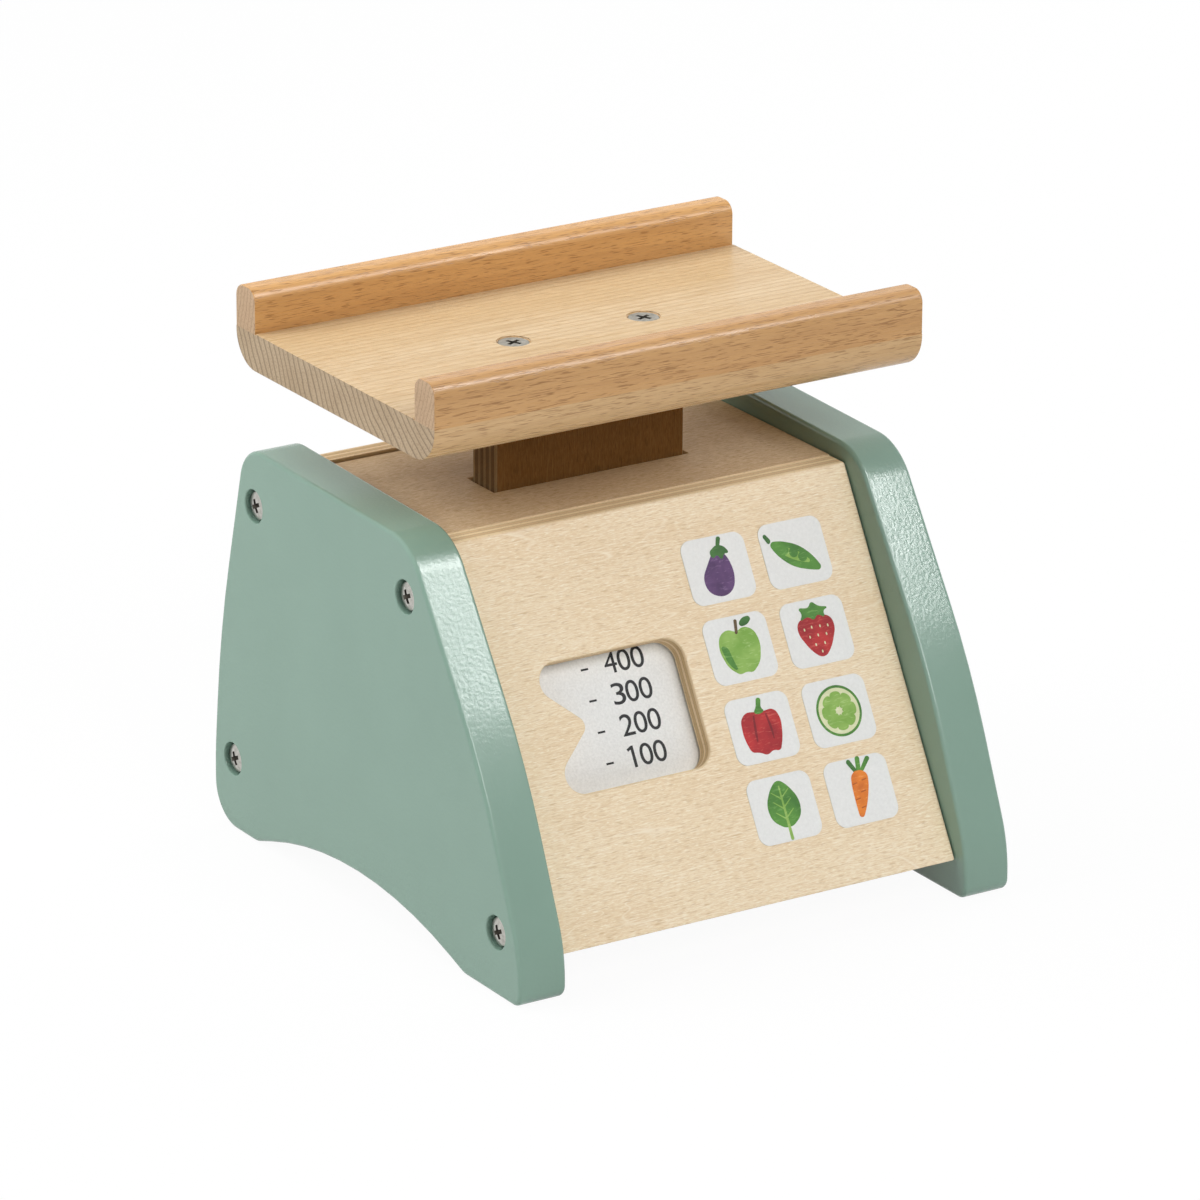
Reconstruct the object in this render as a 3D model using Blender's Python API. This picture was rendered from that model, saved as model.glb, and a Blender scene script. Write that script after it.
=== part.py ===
# Toy kitchen scale: a tray on a sprung post, over a housing whose window shows a moving number card.
from math import ceil, cos, pi, radians, sin, tan

import bmesh
import bpy
from mathutils import Matrix, Vector

# Overall sizes, in metres
WIDTH = 0.162
DEPTH = 0.1672
HOUSING_HEIGHT = 0.1122
GAP = 0.0003

# Side panels
SIDE_THICKNESS = 0.015
SIDE_EDGE_ROUNDING = 0.0012
TOE_HEIGHT = 0.014
BELLY_HEIGHT = 0.0615
BELLY_LIP = 0.0134
KNEE_RISE = 0.0050
KNEE_LIP = 0.0080
CREST_RISE = 0.0069
CREST_LIP = 0.0052
HIP_HEIGHT = 0.0585
HIP_LIP = 0.0101
HEEL_HEIGHT = 0.020
FRONT_FOOT_LENGTH = 0.0296
REAR_FOOT_LENGTH = 0.0236
ARCH_PEAK = 0.0186
ARCH_FROM_REAR = 0.0806
TOE_RADIUS = 0.004
SHIN_RADIUS = 0.042
BELLY_RADIUS = 0.200
KNEE_RADIUS = 0.019
CREST_RADIUS = 0.012
HIP_RADIUS = 0.300
CALF_RADIUS = 0.100
HEEL_RADIUS = 0.012
FRONT_FOOT_RADIUS = 0.010
REAR_FOOT_RADIUS = 0.008
ARCH_RADIUS = 0.160

# Plywood panels between the sides
PLY = 0.0065
PLY_EDGE_ROUNDING = 0.0005
PANEL_FOOT = 0.01105
FRONT_TILT = radians(30.0)
FRONT_SETBACK = 0.00455
BACK_TILT = radians(9.65)
BACK_SETBACK = 0.00575
BACK_RISE = 0.001

# Window, measured from the middle of the front panel and up its slope
WINDOW_RIGHT = -0.0018
WINDOW_TAIL = -0.0570
WINDOW_POINTER = -0.0370
WINDOW_TOP = 0.0789
WINDOW_BOTTOM = 0.0416
WINDOW_CORNER_RADIUS = 0.006
WINDOW_TAIL_RADIUS = 0.0054
POINTER_RADIUS = 0.003

# Picture stickers on the front panel
STICKER_WIDTH = 0.0209
STICKER_HEIGHT = 0.0188
STICKER_RADIUS = 0.0033
STICKER_THICKNESS = 0.0002
STICKER_COLUMNS = 2
STICKER_ROWS = 4
STICKER_FIRST_X = 0.0159
STICKER_COLUMN_PITCH = 0.0257
STICKER_TOP_ROW = 0.0946
STICKER_ROW_PITCH = 0.0231
PAPER_GAP = 0.00005

# Screws that hold the sides to the front and back panels
SCREW_HEAD_DIAMETER = 0.008
SCREW_HEAD_HEIGHT = 0.0026
SCREW_HEAD_DOME = 0.0007
SCREW_SHANK_DIAMETER = 0.0032
SCREW_REACH = 0.018
SCREW_POINT = 0.004
COUNTERBORE_DIAMETER = 0.0097
COUNTERBORE_RECESS = 0.0006
FRONT_SCREW_LOW = 0.0184
FRONT_SCREW_HIGH = 0.1007
BACK_SCREW_LOW = 0.0212
BACK_SCREW_HIGH = 0.1020

# Cross slots in the screw heads
SLOT_SPAN = 0.0044
SLOT_BREADTH = 0.0010
SLOT_DEPTH = 0.0014

# Tray
TRAY_LENGTH = 0.1595
TRAY_DEPTH = 0.1075
TRAY_LIFT = 0.0294
TRAY_BASE_THICKNESS = 0.0112
TRAY_LOWER_RADIUS = 0.0104
RAIL_WIDTH = 0.0106
RAIL_HEIGHT = 0.0125
RAIL_SEAT_DEPTH = 0.0003
RAIL_RADIUS = 0.0038
TRAY_EDGE_ROUNDING = 0.0005
TRAY_SCREW_SPACING = 0.043
TRAY_SCREW_HEAD_DIAMETER = 0.009
TRAY_SCREW_SHANK_DIAMETER = 0.004
TRAY_SCREW_LENGTH = 0.035
TRAY_SCREW_RECESS = 0.0001

# Post and its slot
POST_Y = 0.0162
POST_WIDTH = 0.062
POST_THICKNESS = 0.0129
POST_BOTTOM = 0.056
POST_EDGE_ROUNDING = 0.0005
POST_SLOT_END_CLEARANCE = 0.0013
POST_SLOT_FACE_CLEARANCE = 0.0008
TRAVEL = 0.018

# Stop dowels across the post
STOP_DIAMETER = 0.006
STOP_LENGTH = 0.030
STOP_SPACING = 0.040

# Number board, card and arms
CARD_SETBACK = 0.0006
CARD_THICKNESS = 0.0003
CARD_MARGIN = 0.001
BOARD_THICKNESS = 0.004
BOARD_LEFT = -0.0545
BOARD_RIGHT = 0.0085
BOARD_BOTTOM = 0.038
BOARD_OVER_WINDOW = 0.0065
BOARD_CORNER_RADIUS = 0.003
ARM_LEFT_X = -0.026
ARM_RIGHT_X = 0.005
ARM_BOTTOM = 0.058
ARM_TOP = 0.086

# Guide dowel and return spring
GUIDE_DIAMETER = 0.006
GUIDE_CLEARANCE = 0.0004
GUIDE_ENGAGEMENT = 0.014
SPRING_WIRE = 0.0007
SPRING_DIAMETER = 0.0094
SPRING_COILS = 9
SPRING_END_PITCH = 0.0013
SPRING_POINTS = 10

# Smoothness of round shapes
ARC_STEP = radians(9.0)
ROUND_SIDES = 24


# Planes and places that follow from the sizes
INNER_X = WIDTH / 2 - SIDE_THICKNESS
PANEL_X = INNER_X - GAP
FRONT_BOTTOM_Y = -DEPTH / 2 + FRONT_SETBACK
BACK_BOTTOM_Y = DEPTH / 2 - BACK_SETBACK
FLOOR_TOP = PANEL_FOOT + PLY
TOP_PANEL_BOTTOM = HOUSING_HEIGHT - PLY
TRAY_BOTTOM = HOUSING_HEIGHT + TRAY_LIFT
TRAY_FLOOR = TRAY_BOTTOM + TRAY_BASE_THICKNESS
CARD_FACE = PLY + CARD_SETBACK
BOARD_FACE = CARD_FACE + CARD_THICKNESS + PAPER_GAP
BOARD_BACK = BOARD_FACE + BOARD_THICKNESS
BOARD_TOP = WINDOW_TOP + TRAVEL * cos(FRONT_TILT) + BOARD_OVER_WINDOW
POST_FRONT = POST_Y - POST_THICKNESS / 2
GUIDE_TOP = POST_BOTTOM + GUIDE_ENGAGEMENT


def front_y(height, behind=0.0):
    return FRONT_BOTTOM_Y + (height - PANEL_FOOT) * tan(FRONT_TILT) + behind / cos(FRONT_TILT)


def back_y(height, inside=0.0):
    return BACK_BOTTOM_Y - (height - PANEL_FOOT) * tan(BACK_TILT) - inside / cos(BACK_TILT)


# Outlines: corner points with radii become points, the round stretches as arcs
def rounded(corners):
    points = []
    for index, (a, b, radius) in enumerate(corners):
        corner = Vector((a, b))
        if radius == 0:
            points.append(corner)
            continue
        to_last = (Vector(corners[index - 1][:2]) - corner).normalized()
        to_next = (Vector(corners[(index + 1) % len(corners)][:2]) - corner).normalized()
        half = to_last.angle(to_next) / 2
        centre = corner + (to_last + to_next).normalized() * radius / sin(half)
        start = corner + to_last * radius / tan(half) - centre
        sweep = pi - 2 * half
        turn = sweep if to_last.x * to_next.y - to_last.y * to_next.x < 0 else -sweep
        steps = max(3, ceil(sweep / ARC_STEP))
        for step in range(steps + 1):
            points.append(centre + Matrix.Rotation(turn * step / steps, 2) @ start)
    return points


def rectangle(left, right, low, high, radius=0.0):
    return rounded([(left, low, radius), (right, low, radius), (right, high, radius), (left, high, radius)])


# Solids
def material(name, colour, roughness, metallic=0.0):
    made = bpy.data.materials.new(name)
    made.use_nodes = True
    shader = made.node_tree.nodes["Principled BSDF"]
    shader.inputs["Base Color"].default_value = (*colour, 1.0)
    shader.inputs["Roughness"].default_value = roughness
    shader.inputs["Metallic"].default_value = metallic
    return made


def piece(name, data, finish):
    made = bpy.data.objects.new(name, data)
    bpy.context.scene.collection.objects.link(made)
    if finish and not data.materials:
        data.materials.append(finish)
    return made


def extruded(name, points, travel, finish):
    shape = bmesh.new()
    face = shape.faces.new([shape.verts.new(point) for point in points])
    grown = bmesh.ops.extrude_face_region(shape, geom=[face])
    moved = [item for item in grown["geom"] if isinstance(item, bmesh.types.BMVert)]
    bmesh.ops.translate(shape, verts=moved, vec=travel)
    bmesh.ops.recalc_face_normals(shape, faces=shape.faces)
    mesh = bpy.data.meshes.new(name)
    shape.to_mesh(mesh)
    shape.free()
    return piece(name, mesh, finish)


def across(name, outline, left, right, finish):
    return extruded(name, [(left, a, b) for a, b in outline], (right - left, 0, 0), finish)


def plate(name, outline, low, high, finish):
    return extruded(name, [(a, b, low) for a, b in outline], (0, 0, high - low), finish)


def turned(name, profile, finish):
    shape = bmesh.new()
    chain = [shape.verts.new((radius, 0, height)) for radius, height in profile]
    edges = [shape.edges.new(pair) for pair in zip(chain, chain[1:])]
    whole = {"cent": (0, 0, 0), "axis": (0, 0, 1), "angle": 2 * pi}
    bmesh.ops.spin(shape, geom=chain + edges, steps=ROUND_SIDES, use_merge=True, **whole)
    bmesh.ops.remove_doubles(shape, verts=shape.verts, dist=1e-6)
    bmesh.ops.recalc_face_normals(shape, faces=shape.faces)
    mesh = bpy.data.meshes.new(name)
    shape.to_mesh(mesh)
    shape.free()
    return piece(name, mesh, finish)


def rod(name, diameter, low, high, finish):
    return turned(name, [(0, high), (diameter / 2, high), (diameter / 2, low), (0, low)], finish)


def round_edges(target, size):
    bevel = target.modifiers.new("edge rounding", "BEVEL")
    bevel.width = size
    bevel.segments = 2
    bevel.limit_method = "ANGLE"
    bevel.angle_limit = radians(50.0)


def cutter(tool):
    tool.hide_render = True
    tool.display_type = "WIRE"
    return tool


def cut(target, tool):
    boolean = target.modifiers.new("cut " + tool.name, "BOOLEAN")
    boolean.operation = "DIFFERENCE"
    boolean.solver = "EXACT"
    boolean.object = tool


def on_front_slope(target):
    target.location = (0, FRONT_BOTTOM_Y, PANEL_FOOT)
    target.rotation_euler = (pi / 2 - FRONT_TILT, 0, 0)
    return target


def carried(target):
    target.parent = slide
    target.matrix_parent_inverse = Matrix.Translation(slide.location).inverted()
    return target


# A screw's mesh with its cross slot, for all screws of its kind
def screw_mesh(name, profile):
    blank = turned(name, profile, steel)
    half_span = SLOT_SPAN / 2
    half_breadth = SLOT_BREADTH / 2
    corners = [(half_breadth, half_span), (half_breadth, half_breadth), (half_span, half_breadth)]
    quarters = [Matrix.Rotation(-quarter * pi / 2, 2) for quarter in range(4)]
    outline = [quarter @ Vector(corner) for quarter in quarters for corner in corners]
    slot = cutter(plate("slot", outline, profile[0][1] - SLOT_DEPTH, profile[0][1] + SLOT_DEPTH, None))
    cut(blank, slot)
    evaluated = blank.evaluated_get(bpy.context.evaluated_depsgraph_get())
    mesh = bpy.data.meshes.new_from_object(evaluated)
    bpy.data.objects.remove(blank)
    bpy.data.objects.remove(slot)
    return mesh


for leftover in list(bpy.data.objects):
    bpy.data.objects.remove(leftover)

paint = material("sage_paint", (0.31, 0.45, 0.37), 0.35)
plywood = material("birch_plywood", (0.80, 0.60, 0.38), 0.55)
beech = material("beech", (0.70, 0.45, 0.22), 0.5)
dowel_wood = material("dowel_wood", (0.72, 0.52, 0.30), 0.6)
steel = material("zinc_steel", (0.62, 0.61, 0.58), 0.35, 1.0)
card_paper = material("card_paper", (0.78, 0.78, 0.77), 0.7)
sticker_paper = material("sticker_paper", (0.86, 0.86, 0.85), 0.5)

slide = bpy.data.objects.new("tray_slide", None)
slide.location = (0, POST_Y, HOUSING_HEIGHT)
bpy.context.scene.collection.objects.link(slide)


# Side panels
knee_height = HOUSING_HEIGHT + KNEE_RISE
crest_height = HOUSING_HEIGHT + CREST_RISE
side_outline = rounded(
    [
        (-DEPTH / 2, 0, TOE_RADIUS),
        (-DEPTH / 2 + FRONT_FOOT_LENGTH, 0, FRONT_FOOT_RADIUS),
        (DEPTH / 2 - ARCH_FROM_REAR, ARCH_PEAK, ARCH_RADIUS),
        (DEPTH / 2 - REAR_FOOT_LENGTH, 0, REAR_FOOT_RADIUS),
        (DEPTH / 2, 0, HEEL_RADIUS),
        (DEPTH / 2, HEEL_HEIGHT, CALF_RADIUS),
        (back_y(HIP_HEIGHT) + HIP_LIP, HIP_HEIGHT, HIP_RADIUS),
        (back_y(crest_height) + CREST_LIP, crest_height, CREST_RADIUS),
        (front_y(knee_height) - KNEE_LIP, knee_height, KNEE_RADIUS),
        (front_y(BELLY_HEIGHT) - BELLY_LIP, BELLY_HEIGHT, BELLY_RADIUS),
        (-DEPTH / 2, TOE_HEIGHT, SHIN_RADIUS),
    ]
)
sides = {}
for side, sign in (("left", -1), ("right", 1)):
    low, high = sorted((sign * INNER_X, sign * WIDTH / 2))
    sides[side] = across(side + "_side_panel", side_outline, low, high, paint)
    round_edges(sides[side], SIDE_EDGE_ROUNDING)


# Front and back panels, slanted boards with level ends
def slanted(name, face_y, top):
    corners = [
        (face_y(PANEL_FOOT), PANEL_FOOT),
        (face_y(PANEL_FOOT, PLY), PANEL_FOOT),
        (face_y(top, PLY), top),
        (face_y(top), top),
    ]
    board = across(name, corners, -PANEL_X, PANEL_X, plywood)
    round_edges(board, PLY_EDGE_ROUNDING)
    return board


front_panel = slanted("front_panel", front_y, HOUSING_HEIGHT)
back_panel = slanted("back_panel", back_y, HOUSING_HEIGHT + BACK_RISE)

window_middle = (WINDOW_TOP + WINDOW_BOTTOM) / 2
window_outline = rounded(
    [
        (WINDOW_RIGHT, WINDOW_BOTTOM, WINDOW_CORNER_RADIUS),
        (WINDOW_RIGHT, WINDOW_TOP, WINDOW_CORNER_RADIUS),
        (WINDOW_TAIL, WINDOW_TOP, WINDOW_TAIL_RADIUS),
        (WINDOW_POINTER, window_middle, POINTER_RADIUS),
        (WINDOW_TAIL, WINDOW_BOTTOM, WINDOW_TAIL_RADIUS),
    ]
)
window = cutter(plate("window", window_outline, -2 * PLY, PLY, None))
cut(front_panel, on_front_slope(window))


# Top and floor panels, level boards fitted between the front and back panels
def level(name, low, high):
    inside = PLY + GAP
    corners = [
        (front_y(low, inside), low),
        (back_y(low, inside), low),
        (back_y(high, inside), high),
        (front_y(high, inside), high),
    ]
    return across(name, corners, -PANEL_X, PANEL_X, plywood)


top_panel = level("top_panel", TOP_PANEL_BOTTOM, HOUSING_HEIGHT)
floor_panel = level("floor_panel", PANEL_FOOT, FLOOR_TOP)

slot_x = POST_WIDTH / 2 + POST_SLOT_END_CLEARANCE
slot_y = POST_THICKNESS / 2 + POST_SLOT_FACE_CLEARANCE
slot_outline = rectangle(-slot_x, slot_x, POST_Y - slot_y, POST_Y + slot_y)
cut(top_panel, cutter(plate("post_slot", slot_outline, TOP_PANEL_BOTTOM - PLY, HOUSING_HEIGHT + PLY, None)))


# Screws through the sides into the middle of the panels' edges
head_radius = SCREW_HEAD_DIAMETER / 2
shank_radius = SCREW_SHANK_DIAMETER / 2
shank_end = COUNTERBORE_RECESS - SIDE_THICKNESS - SCREW_REACH
side_screw = screw_mesh(
    "side_screw",
    [
        (0, 0),
        (head_radius / 2, -SCREW_HEAD_DOME / 4),
        (head_radius, -SCREW_HEAD_DOME),
        (head_radius, -SCREW_HEAD_HEIGHT),
        (shank_radius, -SCREW_HEAD_HEIGHT),
        (shank_radius, shank_end + SCREW_POINT),
        (0, shank_end),
    ],
)
bore_radius = COUNTERBORE_DIAMETER / 2
hole_radius = shank_radius + GAP
bore_bottom = -SCREW_HEAD_HEIGHT - GAP
side_screw_hole = [
    (0, 2 * COUNTERBORE_RECESS),
    (bore_radius, 2 * COUNTERBORE_RECESS),
    (bore_radius, bore_bottom),
    (hole_radius, bore_bottom),
    (hole_radius, shank_end - GAP),
    (0, shank_end - GAP),
]
screw_places = [
    ("front_low", front_panel, front_y(FRONT_SCREW_LOW, PLY / 2), FRONT_SCREW_LOW),
    ("front_high", front_panel, front_y(FRONT_SCREW_HIGH, PLY / 2), FRONT_SCREW_HIGH),
    ("back_low", back_panel, back_y(BACK_SCREW_LOW, PLY / 2), BACK_SCREW_LOW),
    ("back_high", back_panel, back_y(BACK_SCREW_HIGH, PLY / 2), BACK_SCREW_HIGH),
]
for side, sign in (("left", -1), ("right", 1)):
    for place, panel, y, z in screw_places:
        screw = piece("screw_" + side + "_" + place, side_screw, steel)
        hole = cutter(turned("hole_" + side + "_" + place, side_screw_hole, None))
        for item in (screw, hole):
            item.location = (sign * (WIDTH / 2 - COUNTERBORE_RECESS), y, z)
            item.rotation_euler = (0, sign * pi / 2, 0)
        cut(sides[side], hole)
        cut(panel, hole)


# Picture stickers, row by row from the top
sticker_outline = rectangle(
    -STICKER_WIDTH / 2, STICKER_WIDTH / 2, -STICKER_HEIGHT / 2, STICKER_HEIGHT / 2, STICKER_RADIUS
)
for row in range(STICKER_ROWS):
    for column in range(STICKER_COLUMNS):
        centre_x = STICKER_FIRST_X + column * STICKER_COLUMN_PITCH
        centre_up = STICKER_TOP_ROW - row * STICKER_ROW_PITCH
        outline = [(a + centre_x, b + centre_up) for a, b in sticker_outline]
        name = "sticker_row_" + str(row + 1) + "_column_" + str(column + 1)
        on_front_slope(plate(name, outline, PAPER_GAP, PAPER_GAP + STICKER_THICKNESS, sticker_paper))


# Tray: base and two rails, each glued in a shallow seat along the base's edge
tray_front = POST_Y - TRAY_DEPTH / 2
tray_back = POST_Y + TRAY_DEPTH / 2
base_outline = rounded(
    [
        (tray_front, TRAY_BOTTOM, TRAY_LOWER_RADIUS),
        (tray_back, TRAY_BOTTOM, TRAY_LOWER_RADIUS),
        (tray_back, TRAY_FLOOR, 0),
        (tray_front, TRAY_FLOOR, 0),
    ]
)
tray_base = carried(across("tray_base", base_outline, -TRAY_LENGTH / 2, TRAY_LENGTH / 2, beech))
round_edges(tray_base, TRAY_EDGE_ROUNDING)
rail_seat = TRAY_FLOOR - RAIL_SEAT_DEPTH
rail_bottom = rail_seat + GAP
rail_top = rail_bottom + RAIL_HEIGHT
for name, near, far in (
    ("tray_front_rail", tray_front, tray_front + RAIL_WIDTH),
    ("tray_rear_rail", tray_back - RAIL_WIDTH, tray_back),
):
    rail_outline = rounded(
        [
            (near, rail_bottom, 0),
            (far, rail_bottom, 0),
            (far, rail_top, RAIL_RADIUS),
            (near, rail_top, RAIL_RADIUS),
        ]
    )
    rail = carried(across(name, rail_outline, -TRAY_LENGTH / 2, TRAY_LENGTH / 2, beech))
    round_edges(rail, TRAY_EDGE_ROUNDING)
    seat_outline = rectangle(near - GAP, far + GAP, rail_seat, rail_top)
    cut(tray_base, carried(cutter(across("seat_of_" + name, seat_outline, -TRAY_LENGTH, TRAY_LENGTH, None))))


# Post, sliding in the top panel's slot
post_outline = rectangle(
    -POST_WIDTH / 2, POST_WIDTH / 2, POST_Y - POST_THICKNESS / 2, POST_Y + POST_THICKNESS / 2
)
post = carried(plate("post", post_outline, POST_BOTTOM, TRAY_BOTTOM - GAP, plywood))
round_edges(post, POST_EDGE_ROUNDING)


# Tray screws, down through the tray base into the post
tray_head_radius = TRAY_SCREW_HEAD_DIAMETER / 2
tray_shank_radius = TRAY_SCREW_SHANK_DIAMETER / 2
tray_cone = tray_head_radius - tray_shank_radius
tray_screw = screw_mesh(
    "tray_screw",
    [
        (0, 0),
        (tray_head_radius, 0),
        (tray_shank_radius, -tray_cone),
        (tray_shank_radius, SCREW_POINT - TRAY_SCREW_LENGTH),
        (0, -TRAY_SCREW_LENGTH),
    ],
)
tray_screw_hole = [
    (0, TRAY_SCREW_LENGTH),
    (tray_head_radius + GAP, TRAY_SCREW_LENGTH),
    (tray_head_radius + GAP, 0),
    (tray_shank_radius + GAP, -tray_cone),
    (tray_shank_radius + GAP, -TRAY_SCREW_LENGTH - GAP),
    (0, -TRAY_SCREW_LENGTH - GAP),
]
for side, sign in (("left", -1), ("right", 1)):
    screw = piece("tray_screw_" + side, tray_screw, steel)
    hole = cutter(turned("tray_hole_" + side, tray_screw_hole, None))
    for item in (screw, hole):
        item.location = (sign * TRAY_SCREW_SPACING / 2, POST_Y, TRAY_FLOOR - TRAY_SCREW_RECESS)
        carried(item)
    cut(tray_base, hole)
    cut(post, hole)


# Stop dowels across the post, under the top panel
stop_height = TOP_PANEL_BOTTOM - GAP - STOP_DIAMETER / 2
for side, sign in (("left", -1), ("right", 1)):
    dowel = rod("stop_dowel_" + side, STOP_DIAMETER, -STOP_LENGTH / 2, STOP_LENGTH / 2, dowel_wood)
    hole = cutter(rod("stop_hole_" + side, STOP_DIAMETER + 2 * GAP, -STOP_LENGTH, STOP_LENGTH, None))
    for item in (dowel, hole):
        item.location = (sign * STOP_SPACING / 2, POST_Y, stop_height)
        item.rotation_euler = (pi / 2, 0, 0)
        carried(item)
    cut(post, hole)


# Number board and card behind the window, and the arms that join the board to the post
board_outline = rectangle(BOARD_LEFT, BOARD_RIGHT, BOARD_BOTTOM, BOARD_TOP, BOARD_CORNER_RADIUS)
card_outline = rectangle(
    BOARD_LEFT + CARD_MARGIN, BOARD_RIGHT - CARD_MARGIN, BOARD_BOTTOM + CARD_MARGIN, BOARD_TOP - CARD_MARGIN
)
carried(on_front_slope(plate("number_board", board_outline, -BOARD_BACK, -BOARD_FACE, plywood)))
card_back = -CARD_FACE - CARD_THICKNESS
carried(on_front_slope(plate("number_card", card_outline, card_back, -CARD_FACE, card_paper)))
arm_outline = [
    (POST_FRONT - GAP, ARM_BOTTOM),
    (POST_FRONT - GAP, ARM_TOP),
    (front_y(ARM_TOP, BOARD_BACK + GAP), ARM_TOP),
    (front_y(ARM_BOTTOM, BOARD_BACK + GAP), ARM_BOTTOM),
]
for name, middle in (("board_arm_left", ARM_LEFT_X), ("board_arm_right", ARM_RIGHT_X)):
    carried(across(name, arm_outline, middle - PLY / 2, middle + PLY / 2, plywood))


# Guide dowel, fixed in the floor panel, and its blind bore in the post
guide_dowel = rod("guide_dowel", GUIDE_DIAMETER, PANEL_FOOT, GUIDE_TOP, dowel_wood)
guide_dowel.location = (0, POST_Y, 0)
guide_hole = cutter(rod("guide_hole", GUIDE_DIAMETER + 2 * GAP, 0, 2 * FLOOR_TOP, None))
guide_hole.location = (0, POST_Y, 0)
cut(floor_panel, guide_hole)
guide_bore_diameter = GUIDE_DIAMETER + 2 * GUIDE_CLEARANCE
guide_bore = rod("guide_bore", guide_bore_diameter, FLOOR_TOP, GUIDE_TOP + TRAVEL + GAP, None)
guide_bore.location = (0, POST_Y, 0)
cut(post, carried(cutter(guide_bore)))


# Return spring round the guide dowel, its end coils closed up
def spring_point(turns):
    last = SPRING_COILS + 1
    pitch = (spring_length - 2 * SPRING_END_PITCH) / SPRING_COILS
    rise = min(turns, 1) * SPRING_END_PITCH
    rise += min(max(turns - 1, 0), SPRING_COILS) * pitch
    rise += max(turns - last, 0) * SPRING_END_PITCH
    angle = 2 * pi * turns
    radius = SPRING_DIAMETER / 2
    return Vector((radius * cos(angle), POST_Y + radius * sin(angle), spring_low + rise))


spring_low = FLOOR_TOP + GAP + SPRING_WIRE / 2
spring_length = POST_BOTTOM - GAP - SPRING_WIRE / 2 - spring_low
spring_turns = SPRING_COILS + 2
coil = [spring_point(step / SPRING_POINTS) for step in range(spring_turns * SPRING_POINTS + 1)]
self_gap = min(
    (coil[later] - coil[early]).length - SPRING_WIRE
    for early in range(len(coil))
    for later in range(early + SPRING_POINTS // 2, len(coil))
)
print("least gap of the spring to itself: %.2f mm" % (self_gap * 1000))
tail = Vector((0, SPRING_WIRE, 0))
route = [coil[0] - tail, *coil, coil[-1] + tail]
wire = bpy.data.curves.new("return_spring", "CURVE")
wire.dimensions = "3D"
wire.bevel_depth = SPRING_WIRE / 2
wire.bevel_resolution = 1
wire.use_fill_caps = True
line = wire.splines.new("POLY")
line.points.add(len(route) - 1)
for point, place in zip(line.points, route):
    point.co = (*place, 1)
piece("return_spring", wire, steel)
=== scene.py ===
# Toy kitchen scale: finer pieces, finishes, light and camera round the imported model.
# Sizes are in millimetres while a piece is modelled, and makePiece brings it to metres.
import math

import bmesh
import bpy
from mathutils import Matrix, Vector


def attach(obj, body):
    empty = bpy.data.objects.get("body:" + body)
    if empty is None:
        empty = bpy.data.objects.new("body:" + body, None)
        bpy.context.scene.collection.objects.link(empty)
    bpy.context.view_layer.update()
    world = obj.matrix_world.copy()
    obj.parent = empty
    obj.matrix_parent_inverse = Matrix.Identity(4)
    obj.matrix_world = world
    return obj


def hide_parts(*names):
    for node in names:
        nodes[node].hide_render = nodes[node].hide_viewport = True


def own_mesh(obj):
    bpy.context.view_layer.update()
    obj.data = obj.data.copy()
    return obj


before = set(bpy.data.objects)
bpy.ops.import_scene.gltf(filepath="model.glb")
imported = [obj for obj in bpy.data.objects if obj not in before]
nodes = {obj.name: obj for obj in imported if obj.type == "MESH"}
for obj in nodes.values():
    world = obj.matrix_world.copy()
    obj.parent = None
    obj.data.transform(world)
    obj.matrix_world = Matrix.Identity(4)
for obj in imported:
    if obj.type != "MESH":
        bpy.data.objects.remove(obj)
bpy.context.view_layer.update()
scene = bpy.context.scene
scene.view_settings.view_transform = "Standard"
mm = 0.001
alongX = (1, 0, 0)
alongY = (0, 1, 0)
upward = (0, 0, 1)
arcStep = math.radians(4)  # the longest step round a corner
crispAngle = math.radians(30)  # sharper edges stay crisp in the shading
foldAngle = math.radians(40)  # and edges sharper than this can be rounded
weld = 0.0005  # points nearer than this become one
slack = 0.01  # for telling whether a point lies on a plane
facing = 0.75  # how much of a face's normal lies along a direction that it faces
cutterLength = 30.0  # goes right through a panel
sides = (("left", -1), ("right", 1))
print("frame loaded,", len(nodes), "nodes")


# modelling helpers

def outlineFace(bm, corners):
    # flat face on XY from (x, y, radius) corners, each arc spun from one vertex
    ends = []
    for index, (x, y, radius) in enumerate(corners):
        corner = Vector((x, y, 0))
        toLast = (Vector((*corners[index - 1][:2], 0)) - corner).normalized()
        toNext = (Vector((*corners[(index + 1) % len(corners)][:2], 0)) - corner).normalized()
        if radius == 0:
            vert = bm.verts.new(corner)
            ends.append((vert, vert))
            continue
        half = toLast.angle(toNext) / 2
        centre = corner + (toLast + toNext).normalized() * radius / math.sin(half)
        first = bm.verts.new(corner + toLast * radius / math.tan(half))
        sweep = math.pi - 2 * half
        turn = sweep if toLast.cross(toNext).z < 0 else -sweep
        steps = max(4, math.ceil(sweep / arcStep))
        arc = bmesh.ops.spin(bm, geom=[first], cent=centre, axis=upward, angle=turn, steps=steps)
        last = [item for item in arc["geom_last"] if isinstance(item, bmesh.types.BMVert)][0]
        ends.append((first, last))
    for index in range(len(ends)):
        bm.edges.new((ends[index - 1][1], ends[index][0]))
    bmesh.ops.edgeloop_fill(bm, edges=[edge for edge in bm.edges if not edge.link_faces])


def flatRectangle(x, y, halfX, halfY):
    return [(x - halfX, y - halfY, 0), (x + halfX, y - halfY, 0),
            (x + halfX, y + halfY, 0), (x - halfX, y + halfY, 0)]


def raiseFaces(bm, travel):
    grown = bmesh.ops.extrude_face_region(bm, geom=bm.faces[:])
    moved = [item for item in grown["geom"] if isinstance(item, bmesh.types.BMVert)]
    bmesh.ops.translate(bm, verts=moved, vec=travel)
    bmesh.ops.recalc_face_normals(bm, faces=bm.faces[:])


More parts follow.
